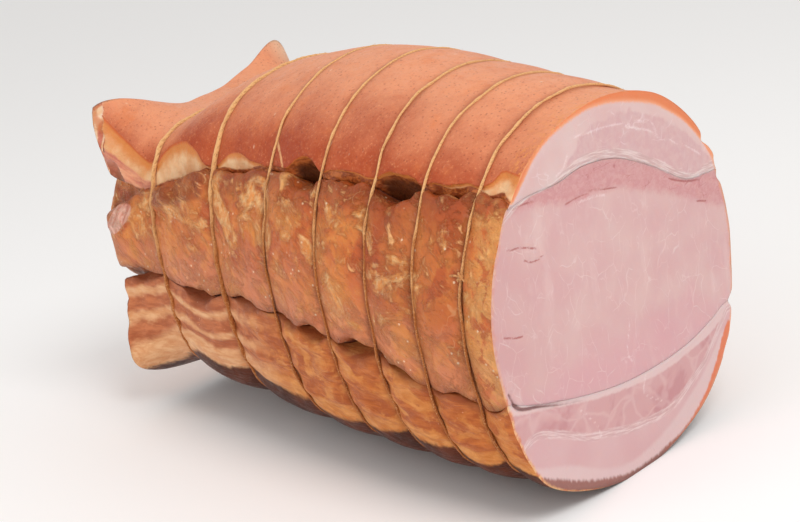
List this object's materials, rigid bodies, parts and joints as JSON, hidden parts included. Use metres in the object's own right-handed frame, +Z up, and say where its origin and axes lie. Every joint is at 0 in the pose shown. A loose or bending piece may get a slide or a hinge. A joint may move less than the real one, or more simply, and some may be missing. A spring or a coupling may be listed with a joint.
{
  "type": "meat roll",
  "caption": "Tied, smoked boneless pork roll with one end cut square: rind-on slabs over and under a lean loin, held by loops of butcher's twine.",
  "frame": {"origin": "under the middle of the roll's bounding box, on the surface it rests on", "axes": "+X along the roll, out of its cut face; +Z up, out of the rind-on top; +Y across, to the left seen from behind the cut face"},
  "size_m": [0.278, 0.1792, 0.1657],
  "materials": {
    "rind_top": "satin, smoked orange-brown skin; pale fat and pink lean on its cut edges",
    "loin_meat": "moist, golden smoked outside; pale pink lean on the cut face",
    "rind_bottom": "satin, dark brown skin below; striped fat and lean on its sides",
    "twine": "matt twisted cotton, stained by smoke"
  },
  "bodies": {
    "root": {"upper_slab": "rind_top", "loin": "loin_meat", "lower_slab": "rind_bottom", "twine_loop_1": "twine", "twine_loop_2": "twine", "twine_loop_3": "twine", "twine_loop_4": "twine", "twine_loop_5": "twine", "twine_loop_6": "twine", "twine_loop_7": "twine"}
  },
  "joints": []
}
